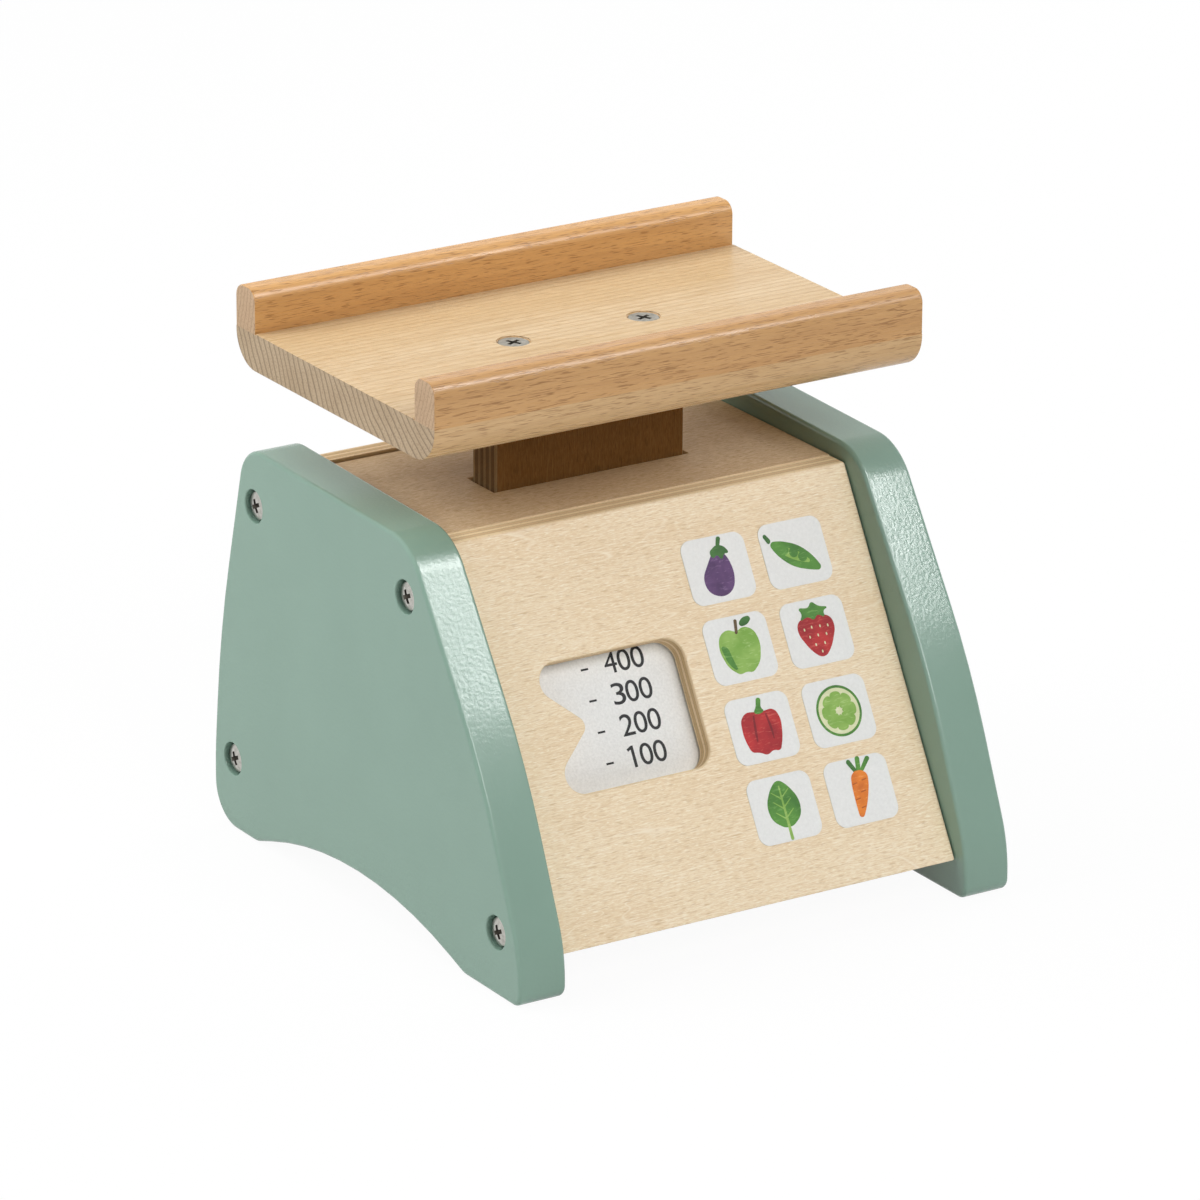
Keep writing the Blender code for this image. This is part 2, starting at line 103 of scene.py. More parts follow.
def board(corners, thickness, place=None):
    bm = bmesh.new()
    outlineFace(bm, corners)
    raiseFaces(bm, (0, 0, thickness))
    if place:
        bm.transform(place)
        bm.normal_update()
    return bm


def placing(origin, along, out):
    # local x runs along, local z points out
    x, z = Vector(along).normalized(), Vector(out).normalized()
    turn = Matrix((x, z.cross(x), z)).transposed()
    return Matrix.Translation(origin) @ turn.to_4x4()


def acrossFrom(x):
    # outline in Y and Z, thickness along X
    return placing((x, 0, 0), alongY, alongX)


def acrossBoard(corners, halfWidth):
    return board(corners, 2 * halfWidth, acrossFrom(-halfWidth))


def roundEdges(bm, size, segments, chosen=None):
    edges = []
    for edge in bm.edges:
        if len(edge.link_faces) == 2 and edge.calc_face_angle() > foldAngle:
            if chosen is None or chosen(edge):
                edges.append(edge)
    bmesh.ops.bevel(bm, geom=edges, offset=size, offset_type="OFFSET", segments=segments, profile=0.5,
                    affect="EDGES", material=-1, clamp_overlap=True)


def atReach(edge, x):
    # the whole edge lies x to the left or right of the middle
    return all(abs(abs(vert.co.x) - x) < slack for vert in edge.verts)


def turned(profile, steps, place=None):
    # profile of (radius, height), spun round Z
    bm = bmesh.new()
    verts = [bm.verts.new((radius, 0, height)) for radius, height in profile]
    edges = [bm.edges.new(pair) for pair in zip(verts, verts[1:])]
    bmesh.ops.spin(bm, geom=verts + edges, cent=(0, 0, 0), axis=upward, angle=2 * math.pi, steps=steps,
                   use_merge=True)
    bmesh.ops.remove_doubles(bm, verts=bm.verts[:], dist=weld)
    bmesh.ops.recalc_face_normals(bm, faces=bm.faces[:])
    if place:
        bm.transform(place)
        bm.normal_update()
    return bm


def meshOf(bm, name):
    mesh = bpy.data.meshes.new(name)
    bm.to_mesh(mesh)
    return mesh


def carve(bm, tools):
    # cuts the tools out of bm, in place
    made = [bpy.data.objects.new("carving", meshOf(bm, "carving"))]
    for tool in tools:
        made.append(bpy.data.objects.new("tool", meshOf(tool, "tool")))
        cut = made[0].modifiers.new("cut", "BOOLEAN")
        cut.operation = "DIFFERENCE"
        cut.solver = "EXACT"
        cut.object = made[-1]
        tool.free()
    for item in made:
        scene.collection.objects.link(item)
    carved = made[0].evaluated_get(bpy.context.evaluated_depsgraph_get())
    mesh = bpy.data.meshes.new_from_object(carved)
    bm.clear()
    bm.from_mesh(mesh)
    bmesh.ops.remove_doubles(bm, verts=bm.verts[:], dist=weld)
    for item in made:
        bpy.data.objects.remove(item)


def joined(parts):
    # several bmeshes as one
    bm = bmesh.new()
    for part in parts:
        bm.from_mesh(meshOf(part, "part"))
        part.free()
    return bm


def makePiece(name, bm, finishes, body, replaced=(), choose=None):
    bm.transform(Matrix.Scale(mm, 4))
    bm.normal_update()
    for face in bm.faces:
        face.smooth = True
        if choose:
            face.material_index = choose(face)
    mesh = meshOf(bm, name)
    bm.free()
    for finish in finishes:
        mesh.materials.append(finish)
    mesh.set_sharp_from_angle(angle=crispAngle)
    piece = bpy.data.objects.new(name, mesh)
    scene.collection.objects.link(piece)
    weighted = piece.modifiers.new("even shading", "WEIGHTED_NORMAL")
    weighted.keep_sharp = True
    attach(piece, body)
    if replaced:
        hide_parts(*replaced)
    return piece


# material helpers

def newFinish(name):
    made = bpy.data.materials.new(name)
    made.use_nodes = True
    tree = made.node_tree
    return made, tree, tree.nodes["Principled BSDF"]


def addNode(tree, kind, values=None, **settings):
    made = tree.nodes.new(kind)
    for key, value in settings.items():
        setattr(made, key, value)
    for key, value in (values or {}).items():
        if isinstance(value, bpy.types.NodeSocket):
            tree.links.new(value, made.inputs[key])
        else:
            made.inputs[key].default_value = value
    return made


def objectCoords(tree):
    return addNode(tree, "ShaderNodeTexCoord").outputs["Object"]


def grainCoords(tree, place):
    # Object coordinates turned so that x runs along the grain and z out of the face, in metres
    mapped = addNode(tree, "ShaderNodeMapping", {"Vector": objectCoords(tree)}, vector_type="TEXTURE")
    mapped.inputs["Location"].default_value = place.translation * mm
    mapped.inputs["Rotation"].default_value = place.to_euler()
    return mapped.outputs["Vector"]


def noise(tree, coords, scale, detail=3, roughness=0.5, distortion=0.0):
    # scale is in cycles a metre along x, y and z
    stretched = addNode(tree, "ShaderNodeMapping", {"Vector": coords, "Scale": scale})
    made = addNode(tree, "ShaderNodeTexNoise", {"Vector": stretched.outputs["Vector"], "Scale": 1.0,
                   "Detail": detail, "Roughness": roughness, "Distortion": distortion})
    return made.outputs["Fac"]


def remap(tree, source, low, high, to=(0.0, 1.0)):
    made = addNode(tree, "ShaderNodeMapRange", {"Value": source, "From Min": low, "From Max": high,
                   "To Min": to[0], "To Max": to[1]})
    return made.outputs["Result"]


def math2(tree, operation, a, b):
    return addNode(tree, "ShaderNodeMath", {0: a, 1: b}, operation=operation).outputs[0]


def layered(tree, colour, layers):
    # lays tones over a colour one after another, each by its own share
    for share, tone in layers:
        made = addNode(tree, "ShaderNodeMix", data_type="RGBA")
        for index, value in ((0, share), (6, colour), (7, tone)):  # a colour mix's factor, A and B
            if isinstance(value, bpy.types.NodeSocket):
                tree.links.new(value, made.inputs[index])
            else:
                made.inputs[index].default_value = (*value, 1)
        colour = made.outputs[2]
    return colour


def surface(tree, shader, colour, roughness):
    tree.links.new(colour, shader.inputs["Base Color"])
    tree.links.new(roughness, shader.inputs["Roughness"])


def bump(tree, shader, height, distance, strength):
    made = addNode(tree, "ShaderNodeBump", {"Height": height, "Distance": distance, "Strength": strength})
    tree.links.new(made.outputs["Normal"], shader.inputs["Normal"])


# finishes

sagePaint = {"deep": (0.202, 0.322, 0.258), "light": (0.214, 0.337, 0.271), "roughness": (0.17, 0.23),
             "peel": 900, "relief": (0.00011, 0.46)}


def makeSagePaint():
    made, tree, shader = newFinish("sagePaint")
    coords = objectCoords(tree)
    cloud = noise(tree, coords, (26, 26, 26))
    peel = noise(tree, coords, [sagePaint["peel"]] * 3)
    brushed = noise(tree, coords, (1500, 160, 160))
    colour = layered(tree, sagePaint["deep"], [(remap(tree, cloud, 0.3, 0.7), sagePaint["light"])])
    surface(tree, shader, colour, remap(tree, cloud, 0.3, 0.7, sagePaint["roughness"]))
    height = math2(tree, "ADD", peel, math2(tree, "MULTIPLY", brushed, 0.25))
    bump(tree, shader, height, *sagePaint["relief"])
    return made


birch = {"pale": (0.885, 0.75, 0.54), "warm": (0.765, 0.575, 0.355), "line": (0.94, 0.845, 0.68),
         "fleck": (0.62, 0.43, 0.235), "roughness": (0.42, 0.58), "gloss": 0.2}


def makeBirch(name, place, tones=birch):
    # peeled veneer: warm clouds, fine dashes along the grain, and pale growth lines with a shade beside them
    made, tree, shader = newFinish(name)
    coords = grainCoords(tree, place)
    cloud = noise(tree, coords, (9, 36, 36), 4, 0.55, 0.5)
    fibre = noise(tree, coords, (520, 3600, 900), 2, 0.6, 0.8)  # dashes of about 2 mm
    hairs = noise(tree, coords, (130, 3600, 900), 2, 0.6, 0.8)  # and longer ones
    flecks = noise(tree, coords, (260, 2000, 900), 1)
    waves = noise(tree, coords, (4, 26, 20), 3, 0.5, 0.6)
    rings = math2(tree, "PINGPONG", math2(tree, "MULTIPLY", waves, 24.0), 0.5)
    fade = remap(tree, noise(tree, coords, (30, 90, 60), 2), 0.40, 0.58, (0.0, 0.62))  # the lines come and go
    lines = math2(tree, "MULTIPLY", remap(tree, rings, 0.0, 0.05, (1, 0)), fade)
    shades = math2(tree, "MULTIPLY", remap(tree, rings, 0.05, 0.16, (0.4, 0)), fade)
    colour = layered(tree, tones["pale"], [
        (remap(tree, cloud, 0.32, 0.68, (0, 0.7)), tones["warm"]),
        (remap(tree, fibre, 0.49, 0.66, (0, 0.8)), tones["warm"]),
        (remap(tree, fibre, 0.46, 0.31, (0, 0.9)), tones["line"]),
        (remap(tree, hairs, 0.5, 0.7, (0, 0.3)), tones["fleck"]),
        (remap(tree, hairs, 0.42, 0.32, (0, 0.7)), tones["line"]),
        (shades, tones["warm"]),
        (lines, tones["line"]),
        (remap(tree, flecks, 0.60, 0.72, (0, 0.6)), tones["fleck"])])
    surface(tree, shader, colour, remap(tree, fibre, 0.3, 0.7, tones["roughness"]))
    shader.inputs["Specular IOR Level"].default_value = tones["gloss"]
    bump(tree, shader, fibre, 0.00010, 0.6)
    return made


plyEdge = {"long": (0.80, 0.63, 0.40), "end": (0.60, 0.42, 0.225), "glue": (0.22, 0.135, 0.065), "gloss": 0.2}
# a paler copy of the ply edge for the front panel's upward-facing edge: painted light on the top edge
plyLitTop = {"long": (0.90, 0.75, 0.50), "end": (0.74, 0.56, 0.33), "glue": (0.34, 0.22, 0.11), "gloss": 0.2}
# dark ply edges for the post: partly their own colour and partly painted shade from the tray above
plyDark = {"long": (0.40, 0.27, 0.14), "end": (0.20, 0.118, 0.052), "glue": (0.09, 0.05, 0.024), "gloss": 0.1}


def makePlyEdge(name, place, thickness, plies, tones=plyEdge):
    # cut edge: plies in turn along and across, with thin glue lines
    made, tree, shader = newFinish(name)
    coords = grainCoords(tree, place)
    wobble = noise(tree, coords, (60, 60, 300), 2)
    depth = addNode(tree, "ShaderNodeSeparateXYZ", {0: coords}).outputs["Z"]
    layer = math2(tree, "MULTIPLY", depth, -plies / (thickness * mm))
    layer = math2(tree, "ADD", layer, remap(tree, wobble, 0.0, 1.0, (-0.08, 0.08)))
    parity = math2(tree, "MODULO", math2(tree, "FLOOR", layer, 0), 2.0)
    seam = math2(tree, "PINGPONG", layer, 0.5)
    pores = noise(tree, coords, (1400, 1400, 2600), 3, 0.6)
    drift = noise(tree, coords, (50, 50, 900))
    colour = layered(tree, tones["long"], [
        (parity, tones["end"]),
        (remap(tree, drift, 0.35, 0.7, (0, 0.4)), tones["end"]),
        (remap(tree, pores, 0.55, 0.75, (0, 0.45)), tones["glue"]),
        (remap(tree, seam, 0.0, 0.13, (0.6, 0)), tones["glue"])])
    surface(tree, shader, colour, remap(tree, pores, 0.3, 0.7, (0.5, 0.66)))
    shader.inputs["Specular IOR Level"].default_value = tones["gloss"]
    bump(tree, shader, math2(tree, "ADD", pores, seam), 0.00010, 0.5)
    return made


# the rings' middle and width, then the strength of rings, flecks and fibres on the long faces
baseRings = {"pith": (0, -62, 197), "spacing": 2.5}
railRings = {"pith": (0, -310, 70), "spacing": 1.7}
longFaces = {"bands": 0.35, "spots": 0.65, "lines": 0.45}
# beechTop, for the faces that look up, is a lighter copy of the beech than beechBase on the base's sides and
# underside: painted light on the top, painted shade on the sides
beechTop = {**baseRings, "bands": 0.7, "spots": 0.4, "lines": 0.4, "pale": (0.665, 0.505, 0.308),
            "warm": (0.61, 0.435, 0.237), "fleck": (0.44, 0.26, 0.11), "ring": (0.46, 0.30, 0.147),
            "gloss": 0.15}
beechBase = {**baseRings, **longFaces, "pale": (0.62, 0.415, 0.220), "warm": (0.53, 0.336, 0.157),
             "fleck": (0.28, 0.15, 0.06), "ring": (0.47, 0.28, 0.126), "gloss": 0.25}
# the front rail takes a darker copy of the beech and the rear rail a lighter, more orange one: painted shade
# on the front rail's face, painted light on the rear rail
beechRail = {**railRings, **longFaces, "pale": (0.595, 0.350, 0.152), "warm": (0.49, 0.266, 0.103),
             "fleck": (0.24, 0.11, 0.037), "ring": (0.43, 0.226, 0.087), "gloss": 0.3}
beechRear = {**railRings, **longFaces, "pale": (0.72, 0.415, 0.162), "warm": (0.60, 0.318, 0.112),
             "fleck": (0.27, 0.12, 0.038), "ring": (0.50, 0.258, 0.092), "gloss": 0.3}
beechEnd = {**baseRings, "pale": (0.49, 0.375, 0.25), "warm": (0.43, 0.32, 0.205),
            "fleck": (0.22, 0.15, 0.085), "ring": (0.14, 0.092, 0.055), "gloss": 0.2}
beechRailEnd = {**railRings, "pale": (0.56, 0.395, 0.255), "warm": (0.48, 0.33, 0.205),
                "fleck": (0.27, 0.165, 0.095), "ring": (0.36, 0.235, 0.14), "gloss": 0.2}


def ringShare(tree, coords, tones):
    # 0 to 1 through each growth ring round the pith, which runs along X
    flat = addNode(tree, "ShaderNodeMapping", {"Vector": coords, "Scale": (0, 1, 1)}).outputs["Vector"]
    pith = [value * mm for value in tones["pith"]]
    reach = addNode(tree, "ShaderNodeVectorMath", {0: flat, 1: pith}, operation="DISTANCE").outputs["Value"]
    bend = noise(tree, coords, (4, 45, 45), 2)
    reach = math2(tree, "ADD", reach, remap(tree, bend, 0.0, 1.0, (-0.003, 0.003)))
    return math2(tree, "FRACT", math2(tree, "DIVIDE", reach, tones["spacing"] * mm), 0)


def makeBeech(name, tones, offset=0.0):
    # solid beech along X: growth rings through the section, short dark flecks on the faces
    made, tree, shader = newFinish(name)
    coords = grainCoords(tree, placing((offset, 0, 0), alongX, upward))
    cloud = noise(tree, coords, (5, 55, 55), 4, 0.55, 0.4)
    fibre = noise(tree, coords, (30, 1200, 1200), 3, 0.6)
    flecks = noise(tree, coords, (210, 3100, 3100), 1)
    ring = ringShare(tree, coords, tones)
    colour = layered(tree, tones["pale"], [
        (remap(tree, cloud, 0.3, 0.7), tones["warm"]),
        (remap(tree, ring, 0.6, 1.0, (0, tones["bands"])), tones["ring"]),
        (remap(tree, fibre, 0.44, 0.66, (0, tones["lines"])), tones["ring"]),
        (remap(tree, flecks, 0.57, 0.66, (0, tones["spots"])), tones["fleck"])])
    surface(tree, shader, colour, remap(tree, fibre, 0.3, 0.7, (0.23, 0.32)))
    shader.inputs["Specular IOR Level"].default_value = tones["gloss"]
    bump(tree, shader, math2(tree, "SUBTRACT", fibre, remap(tree, flecks, 0.56, 0.7)), 0.00005, 0.5)
    return made


def makeBeechEnd(name, tones):
    # end grain: the same rings as thin dark lines, with fine pores between
    made, tree, shader = newFinish(name)
    coords = grainCoords(tree, placing((0, 0, 0), alongX, upward))
    pores = noise(tree, coords, (500, 1700, 1700), 2, 0.6)
    cloud = noise(tree, coords, (40, 70, 70))
    ring = ringShare(tree, coords, tones)
    colour = layered(tree, tones["pale"], [
        (remap(tree, cloud, 0.3, 0.7), tones["warm"]),
        (remap(tree, ring, 0.64, 1.0, (0, 0.85)), tones["ring"]),
        (remap(tree, pores, 0.50, 0.70, (0, 0.5)), tones["fleck"])])
    surface(tree, shader, colour, remap(tree, pores, 0.3, 0.7, (0.5, 0.65)))
    shader.inputs["Specular IOR Level"].default_value = tones["gloss"]
    bump(tree, shader, pores, 0.00010, 0.5)
    return made


zinc = {"light": (0.58, 0.57, 0.53), "dull": (0.38, 0.37, 0.335), "roughness": (0.22, 0.42)}
# a much darker copy of the zinc for the cross recesses and the shanks: painted shade
recessShadeZinc = {"light": (0.17, 0.155, 0.13), "dull": (0.08, 0.07, 0.058), "roughness": (0.45, 0.65)}
dullZinc = {"light": (0.50, 0.495, 0.44), "dull": (0.30, 0.295, 0.26), "roughness": (0.24, 0.42)}


def makeZinc(name, tones):
    made, tree, shader = newFinish(name)
    coords = objectCoords(tree)
    cloud = noise(tree, coords, (700, 700, 700), 4, 0.6)
    scratches = noise(tree, coords, (4000, 900, 900), 2)
    colour = layered(tree, tones["light"], [(remap(tree, cloud, 0.3, 0.7), tones["dull"])])
    surface(tree, shader, colour, remap(tree, cloud, 0.3, 0.7, tones["roughness"]))
    bump(tree, shader, scratches, 0.00004, 0.4)
    shader.inputs["Metallic"].default_value = 1.0
    return made


def makePaper(name, light, shade, fibre):
    # matt paper with a faint tooth
    made, tree, shader = newFinish(name)
    coords = objectCoords(tree)
    tooth = noise(tree, coords, (fibre, fibre, fibre), 4, 0.65)
    cloud = noise(tree, coords, (120, 120, 120), 2)
    colour = layered(tree, light, [(remap(tree, tooth, 0.3, 0.7), shade),
                                   (remap(tree, cloud, 0.3, 0.7, (0, 0.12)), shade)])
    surface(tree, shader, colour, remap(tree, tooth, 0.3, 0.7, (0.55, 0.7)))
    bump(tree, shader, tooth, 0.00005, 0.35)
    return made


def makeInk(name, main, shade, lift):
    # printed colour with soft strokes of a darker and a lighter tone
    made, tree, shader = newFinish(name)
    coords = grainCoords(tree, frontFrame)
    strokes = noise(tree, coords, (400, 1600, 900), 3, 0.6, 0.5)
    wash = noise(tree, coords, (170, 170, 170), 2, 0.5, 0.4)
    colour = layered(tree, main, [(remap(tree, wash, 0.35, 0.68), shade),
                                  (remap(tree, strokes, 0.56, 0.72, (0, 0.7)), lift)])
    tree.links.new(colour, shader.inputs["Base Color"])
    shader.inputs["Roughness"].default_value = 0.5
    shader.inputs["Specular IOR Level"].default_value = 0.2
    bump(tree, shader, strokes, 0.00003, 0.3)
    return made


# planes of the housing

housing = {"frontTilt": 30.0, "backTilt": 9.65, "foot": 11.05, "top": 112.2, "frontBottomY": -79.05,
           "backBottomY": 77.85, "backRise": 1.0, "floorTop": 17.55, "ply": 6.5, "plies": 5,
           "halfWidth": 65.7, "gap": 0.3, "rounding": 0.5}
frontTilt = math.radians(housing["frontTilt"])
backTilt = math.radians(housing["backTilt"])


def frontY(z, behind=0.0):
    rise = z - housing["foot"]
    return housing["frontBottomY"] + rise * math.tan(frontTilt) + behind / math.cos(frontTilt)


def backY(z, inside=0.0):
    rise = z - housing["foot"]
    return housing["backBottomY"] - rise * math.tan(backTilt) - inside / math.cos(backTilt)


frontOut = (0, -math.cos(frontTilt), math.sin(frontTilt))
backOut = (0, math.cos(backTilt), math.sin(backTilt))
frontFrame = placing((0, housing["frontBottomY"], housing["foot"]), alongX, frontOut)
backFrame = placing((0, housing["backBottomY"], housing["foot"]), alongX, backOut)
topFrame = placing((0, 0, housing["top"]), alongX, upward)

sage = makeSagePaint()
steel = makeZinc("zinc", zinc)
trayScrewSteel = makeZinc("dullZinc", dullZinc)
recessShadeSteel = makeZinc("recessShadeZinc", recessShadeZinc)
print("shared finishes made")


# side panels: one outline for both, edges rounded, screw holes cut in

side = {"inner": 66.0, "outer": 81.0, "rounding": 1.2,
        "corners": [(-83.6, 0, 4), (-54, 0, 10), (3, 18.6, 160), (60, 0, 8), (83.6, 0, 12), (83.6, 20, 100),
                    (79.88, 58.5, 300), (64.68, 119.1, 12), (-25.76, 117.2, 19), (-63.32, 61.5, 200),
                    (-83.6, 14, 42)],
        "holes": {"front_low": (-71.05, 18.4), "front_high": (-23.54, 100.7), "back_low": (72.83, 21.2),
                  "back_high": (59.09, 102.0)},
        "holeRadius": 4.85, "holeDepth": 3.5, "holeRim": 0.4, "drillRise": 3.0}
drill = [(0, -side["holeDepth"]), (side["holeRadius"], -side["holeDepth"]),
         (side["holeRadius"], side["drillRise"]), (0, side["drillRise"])]

for name, sign in sides:
    low = min(sign * side["inner"], sign * side["outer"])
    bm = board(side["corners"], side["outer"] - side["inner"], acrossFrom(low))
    roundEdges(bm, side["rounding"], 6)
    carve(bm, [turned(drill, 64, placing((sign * side["outer"], y, z), alongY, (sign, 0, 0)))
               for y, z in side["holes"].values()])
    roundEdges(bm, side["holeRim"], 3, lambda edge: atReach(edge, side["outer"]))
    makePiece(name + "Side", bm, [sage], "housing", [name + "_side_panel"])
print("side panels made")


# side screws: domed heads with a cross recess, at the bottom of the holes

sideScrew = {"recess": 0.6, "headRadius": 4.0, "headHeight": 2.6, "dome": 0.7, "domeArc": 40, "domeSteps": 5,
             "shankRadius": 1.6, "length": 32.4, "tip": 4.0, "span": 2.6, "breadth": 0.65, "depth": 1.9}
punch = {"turn": 25, "tipSpan": 0.45, "tipBreadth": 0.8}  # how the cross is turned and tapers


def crossTool(screw):
    # tapering cross-shaped punch, point down, its top above zero
    bars = []
    for quarter in range(2):
        bm = board(flatRectangle(0, 0, screw["span"], screw["breadth"]), screw["depth"] + 1,
                   Matrix.Translation((0, 0, -screw["depth"])))
        for vert in bm.verts:
            if vert.co.z < -screw["depth"] / 2:
                vert.co.x *= punch["tipSpan"]
                vert.co.y *= punch["tipBreadth"]
        bm.transform(Matrix.Rotation(quarter * math.pi / 2 + math.radians(punch["turn"]), 4, "Z"))
        bars.append(bm)
    return bars


def punchCross(bm, screw):
    # the walls and the floor of the cross get the second finish, a much darker zinc: painted shade in the
    # recess
    carve(bm, crossTool(screw))
    bm.normal_update()
    for face in bm.faces:
        middle = face.calc_center_median()
        if middle.xy.length < screw["span"] and middle.z > -screw["depth"] - 0.05:
            if face.normal.z < 0.7 or middle.z < -screw["depth"] * 0.7:
                face.material_index = 1


def domedHead(screw, place):
    arc = math.radians(screw["domeArc"])
    profile = []
    for step in range(screw["domeSteps"] + 1):
        angle = arc * step / screw["domeSteps"]
        profile.append((screw["headRadius"] * math.sin(angle) / math.sin(arc),
                        -screw["dome"] * (1 - math.cos(angle)) / (1 - math.cos(arc))))
    profile += [(screw["headRadius"], -screw["headHeight"]), (screw["shankRadius"], -screw["headHeight"]),
                (screw["shankRadius"], screw["tip"] - screw["length"]), (0, -screw["length"])]
    bm = turned(profile, 48)
    punchCross(bm, screw)
    for face in bm.faces:
        if face.calc_center_median().z < -screw["headHeight"] - 0.1:
            face.material_index = 1  # the shank, out of the light
    bm.transform(place)
    return bm


heads = []
screwNames = []
for name, sign in sides:
    for place, (y, z) in side["holes"].items():
        x = sign * (side["outer"] - sideScrew["recess"])
        heads.append(domedHead(sideScrew, placing((x, y, z), alongY, (sign, 0, 0))))
        screwNames.append("screw_" + name + "_" + place)
makePiece("sideScrews", joined(heads), [steel, recessShadeSteel], "housing", screwNames)
print("side screws made")


# plywood boards of the housing

def plyFaces(out):
    # veneer on the broad faces, cut plies on the rest
    direction = Vector(out)
    return lambda face: 0 if abs(face.normal.dot(direction)) > facing else 1


def slantedBoard(faceY, top):
    foot, ply = housing["foot"], housing["ply"]
    return acrossBoard([(faceY(foot), foot, 0), (faceY(foot, ply), foot, 0),
                        (faceY(top, ply), top, 0), (faceY(top), top, 0)], housing["halfWidth"])


def housingEdge(name, place, tones=plyEdge):
    return makePlyEdge(name, place, housing["ply"], housing["plies"], tones)


window = {"corners": [(-1.8, 41.6, 6), (-1.8, 78.9, 6), (-57.0, 78.9, 5.4), (-37.0, 60.25, 3),
                      (-57.0, 41.6, 5.4)], "rounding": 0.7}
bm = slantedBoard(frontY, housing["top"])
carve(bm, [board(window["corners"], cutterLength,
                 frontFrame @ Matrix.Translation((0, 0, -cutterLength / 2)))])
roundEdges(bm, window["rounding"], 4)
# the front panel's upward-facing edge takes the paler ply copy: painted light
makePiece("frontPanel", bm, [makeBirch("birchFront", frontFrame), housingEdge("plyFront", frontFrame),
                             housingEdge("plyFrontTop", frontFrame, plyLitTop)],
          "housing", ["front_panel"],
          lambda face: 2 if face.normal.z > 0.8 else plyFaces(frontOut)(face))

# a darker copy of the birch for the back panel: painted shade, taking off some of the light of the lamps
# behind
backShadeTones = {"pale": (0.76, 0.645, 0.47), "warm": (0.65, 0.485, 0.30), "line": (0.80, 0.72, 0.585),
             "fleck": (0.52, 0.355, 0.19), "roughness": (0.42, 0.58), "gloss": 0.2}
bm = slantedBoard(backY, housing["top"] + housing["backRise"])
roundEdges(bm, housing["rounding"], 3)
makePiece("backPanel", bm, [makeBirch("birchBack", backFrame, backShadeTones), housingEdge("plyBack", backFrame)],
          "housing", ["back_panel"], plyFaces(backOut))

post = {"y": 16.2, "halfWidth": 31.0, "halfThickness": 6.45, "bottom": 56.0, "top": 141.3, "rounding": 0.5,
        "slotX": 32.3, "slotY": 7.25, "slotRounding": 0.25, "plies": 9}
# a darker, warmer copy of the birch for the top panel: painted shade from the tray above it
topShadeTones = {"pale": (0.675, 0.525, 0.34), "warm": (0.475, 0.325, 0.172), "line": (0.72, 0.58, 0.41),
            "fleck": (0.34, 0.20, 0.09), "roughness": (0.42, 0.58), "gloss": 0.15}
inside = housing["ply"] + housing["gap"]
high = housing["top"]
low = high - housing["ply"]
bm = acrossBoard([(frontY(low, inside), low, 0), (backY(low, inside), low, 0),
                  (backY(high, inside), high, 0), (frontY(high, inside), high, 0)], housing["halfWidth"])
carve(bm, [board(flatRectangle(0, post["y"], post["slotX"], post["slotY"]), cutterLength,
                 Matrix.Translation((0, 0, low - cutterLength / 2)))])
roundEdges(bm, post["slotRounding"], 2)
makePiece("topPanel", bm, [makeBirch("birchTop", topFrame, topShadeTones), housingEdge("plyTop", topFrame)],
          "housing", ["top_panel"], plyFaces(upward))

# the post's dark brown is partly its own colour and partly painted shade from the tray above it
postTones = {"pale": (0.24, 0.118, 0.034), "warm": (0.18, 0.083, 0.021), "line": (0.28, 0.148, 0.05),
             "fleck": (0.11, 0.048, 0.013), "roughness": (0.5, 0.65), "gloss": 0.05}
postFrame = placing((0, post["y"] - post["halfThickness"], 0), upward, (0, -1, 0))
bm = board(flatRectangle(0, post["y"], post["halfWidth"], post["halfThickness"]),
           post["top"] - post["bottom"], Matrix.Translation((0, 0, post["bottom"])))
roundEdges(bm, post["rounding"], 3)
makePiece("post", bm, [makeBirch("birchPost", postFrame, postTones),
                       makePlyEdge("plyPost", postFrame, 2 * post["halfThickness"], post["plies"], plyDark)],
          "tray", ["post"], plyFaces(alongY))
print("plywood boards made")


# tray: base with two countersinks, and two round-topped rails in their seats

tray = {"halfLength": 79.75, "front": -37.55, "back": 69.95, "bottom": 141.6, "floor": 152.8,
        "lowerRadius": 10.4, "railWidth": 10.6, "railTop": 165.3, "railRadius": 3.8, "seat": 0.3,
        "rounding": 0.5}
seat = tray["floor"] - tray["seat"]
frontSeat = tray["front"] + tray["railWidth"] + housing["gap"]
backSeat = tray["back"] - tray["railWidth"] - housing["gap"]

trayScrew = {"x": 21.5, "recess": 0.3, "headRadius": 4.5, "headEdge": 0.25, "headChamfer": 0.15,
             "coneHeight": 2.5, "shankRadius": 2.0, "length": 35.0, "tip": 4.0, "clearance": 0.4,
             "drillDepth": 40.0, "drillRise": 5.0, "span": 3.0, "breadth": 0.65, "depth": 1.9}
screwPlaces = [Matrix.Translation((sign * trayScrew["x"], post["y"], tray["floor"] - trayScrew["recess"]))
               for sign in (-1, 1)]


def openEnd(edge):
    # an edge round the tray's ends, apart from where a rail meets the base
    return atReach(edge, tray["halfLength"]) and any(abs(vert.co.z - seat) > slack for vert in edge.verts)


def endFaces(face):
    return 1 if abs(face.normal.x) > facing else 0


# up-facing faces take the lighter beech copy, the other long faces the darker one: painted light and painted
# shade
def baseFaces(face):
    return endFaces(face) or (0 if face.normal.z > 0.9 else 2)


